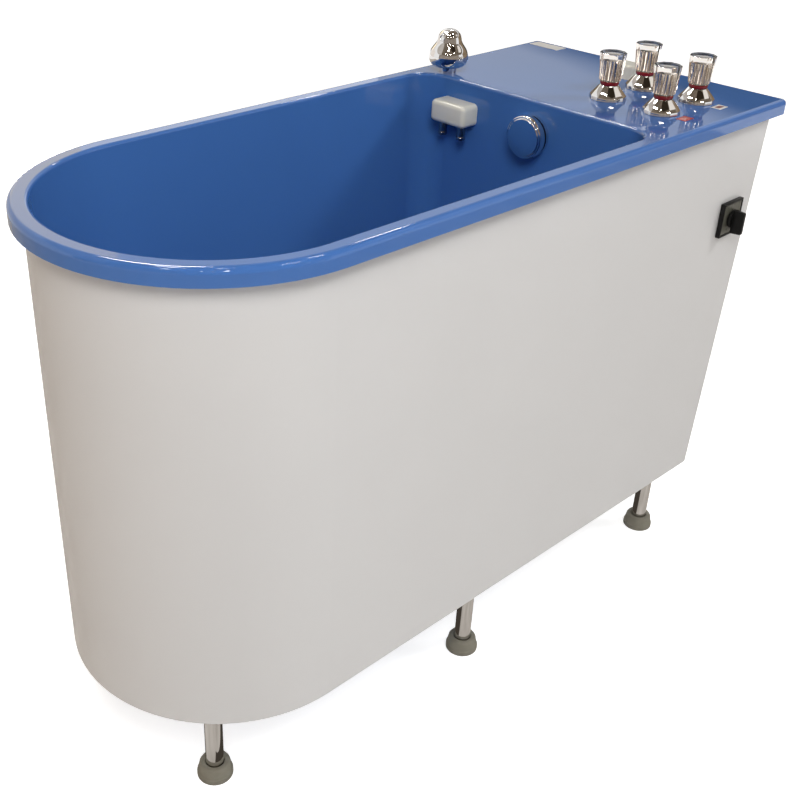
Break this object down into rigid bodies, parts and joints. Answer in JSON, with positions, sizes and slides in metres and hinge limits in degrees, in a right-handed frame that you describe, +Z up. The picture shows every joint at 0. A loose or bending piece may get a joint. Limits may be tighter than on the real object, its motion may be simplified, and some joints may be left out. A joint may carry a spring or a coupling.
{
  "type": "hydrotherapy leg tub",
  "caption": "Narrow free-standing leg bath: a round-ended moulded basin with a tap deck, hand shower, waste control and rotary switch, in a smooth casing on short adjustable legs.",
  "frame": {"origin": "on the floor, under the middle of the whole object's bounding box", "axes": "+X towards the tap deck, -Y towards the side with the rotary switch, +Z up"},
  "size_m": [1.25, 0.5438, 0.9248],
  "materials": {
    "blue_shell": "glossy moulded gel coat",
    "white_casing": "smooth semi-gloss white",
    "frame_paint": "satin grey paint",
    "steel": "plain steel",
    "chrome": "polished",
    "red_ring": "glossy dark red",
    "clear_handle": "clear acrylic",
    "brass": "machined",
    "copper": "drawn tube",
    "grey_pipe": "plain extruded",
    "white_plastic": "smooth moulded",
    "black_plastic": "fine matt",
    "dark_plate": "satin",
    "motor_case": "painted casting",
    "grey_rubber": "matt moulded",
    "label_film": "blank printed film"
  },
  "bodies": {
    "tub": {"tub_shell": "blue_shell", "casing_wrap": "white_casing", "rear_panel": "white_casing", "panel_screws": "steel", "rear_posts": "frame_paint", "near_side_rail": "frame_paint", "far_side_rail": "frame_paint", "cross_rails": "frame_paint", "leg_arms": "frame_paint", "leg_collars": "chrome", "tap_rings": "red_ring", "tap_valve_bodies": "brass", "tap_valve_nuts": "brass", "shower_socket": "chrome", "inlet_housing": "white_plastic", "inlet_nozzles": "chrome", "overflow_body": "chrome", "waste_flange": "chrome", "waste_pipe": "grey_pipe", "hot_supply_pipe": "copper", "cold_supply_pipe": "copper", "fill_pipe": "copper", "shower_pipe": "copper", "delivery_pipe": "grey_pipe", "suction_strainer": "white_plastic", "pump_housing": "black_plastic", "pump_motor": "motor_case", "switch_plate": "dark_plate", "switch_body": "black_plastic", "vent_cap": "white_plastic", "tap_index_plates": "label_film", "rating_plate": "label_film", "front_inner_tap_bell": "chrome", "rear_inner_tap_bell": "chrome", "front_outer_tap_bell": "chrome", "rear_outer_tap_bell": "chrome", "front_near_leg": "chrome", "front_far_leg": "chrome", "middle_near_leg": "chrome", "middle_far_leg": "chrome", "rear_near_leg": "chrome", "rear_far_leg": "chrome"},
    "front_inner_tap": {"front_inner_tap_handle": "clear_handle", "front_inner_tap_spindle": "chrome"},
    "rear_inner_tap": {"rear_inner_tap_handle": "clear_handle", "rear_inner_tap_spindle": "chrome"},
    "front_outer_tap": {"front_outer_tap_handle": "clear_handle", "front_outer_tap_spindle": "chrome"},
    "rear_outer_tap": {"rear_outer_tap_handle": "clear_handle", "rear_outer_tap_spindle": "chrome"},
    "shower": {"hand_shower": "chrome"},
    "waste_control": {"waste_knob": "chrome"},
    "plug": {"waste_plug": "chrome"},
    "switch": {"switch_knob": "black_plastic"},
    "front_near_leveller": {"front_near_foot": "grey_rubber"},
    "front_far_leveller": {"front_far_foot": "grey_rubber"},
    "middle_near_leveller": {"middle_near_foot": "grey_rubber"},
    "middle_far_leveller": {"middle_far_foot": "grey_rubber"},
    "rear_near_leveller": {"rear_near_foot": "grey_rubber"},
    "rear_far_leveller": {"rear_far_foot": "grey_rubber"}
  },
  "joints": [
    {"name": "front_inner_tap_turn", "type": "hinge", "parent": "tub", "child": "front_inner_tap", "pos_m": [0.384, -0.06413, 0.88], "axis": [0, 0, 1], "range_deg": [0, 540]},
    {"name": "rear_inner_tap_turn", "type": "hinge", "parent": "tub", "child": "rear_inner_tap", "pos_m": [0.486, -0.06413, 0.88], "axis": [0, 0, 1], "range_deg": [0, 540]},
    {"name": "front_outer_tap_turn", "type": "hinge", "parent": "tub", "child": "front_outer_tap", "pos_m": [0.384, -0.16613, 0.88], "axis": [0, 0, 1], "range_deg": [0, 540]},
    {"name": "rear_outer_tap_turn", "type": "hinge", "parent": "tub", "child": "rear_outer_tap", "pos_m": [0.486, -0.16613, 0.88], "axis": [0, 0, 1], "range_deg": [0, 540]},
    {"name": "shower_lift", "type": "slide", "parent": "tub", "child": "shower", "axis": [0, 0, 1], "range_m": [0, 0.15]},
    {"name": "waste_knob_turn", "type": "hinge", "parent": "tub", "child": "waste_control", "pos_m": [0.255, -0.00113, 0.794], "axis": [-1, 0, 0], "range_deg": [0, 90]},
    {"name": "waste_plug_lift", "type": "slide", "parent": "tub", "child": "plug", "axis": [0, 0, 1], "range_m": [0, 0.012]},
    {"name": "switch_knob_turn", "type": "hinge", "parent": "tub", "child": "switch", "pos_m": [0.529, -0.25313, 0.661], "axis": [0, -1, 0], "range_deg": [0, 90]},
    {"name": "front_near_foot_adjust", "type": "slide", "parent": "tub", "child": "front_near_leveller", "axis": [0, 0, -1], "range_m": [0, 0.02]},
    {"name": "front_far_foot_adjust", "type": "slide", "parent": "tub", "child": "front_far_leveller", "axis": [0, 0, -1], "range_m": [0, 0.02]},
    {"name": "middle_near_foot_adjust", "type": "slide", "parent": "tub", "child": "middle_near_leveller", "axis": [0, 0, -1], "range_m": [0, 0.02]},
    {"name": "middle_far_foot_adjust", "type": "slide", "parent": "tub", "child": "middle_far_leveller", "axis": [0, 0, -1], "range_m": [0, 0.02]},
    {"name": "rear_near_foot_adjust", "type": "slide", "parent": "tub", "child": "rear_near_leveller", "axis": [0, 0, -1], "range_m": [0, 0.02]},
    {"name": "rear_far_foot_adjust", "type": "slide", "parent": "tub", "child": "rear_far_leveller", "axis": [0, 0, -1], "range_m": [0, 0.02]}
  ],
  "couplings": [
    {"joint": "waste_plug_lift", "follows": "waste_knob_turn", "m_per_rad": 0.0076394}
  ]
}
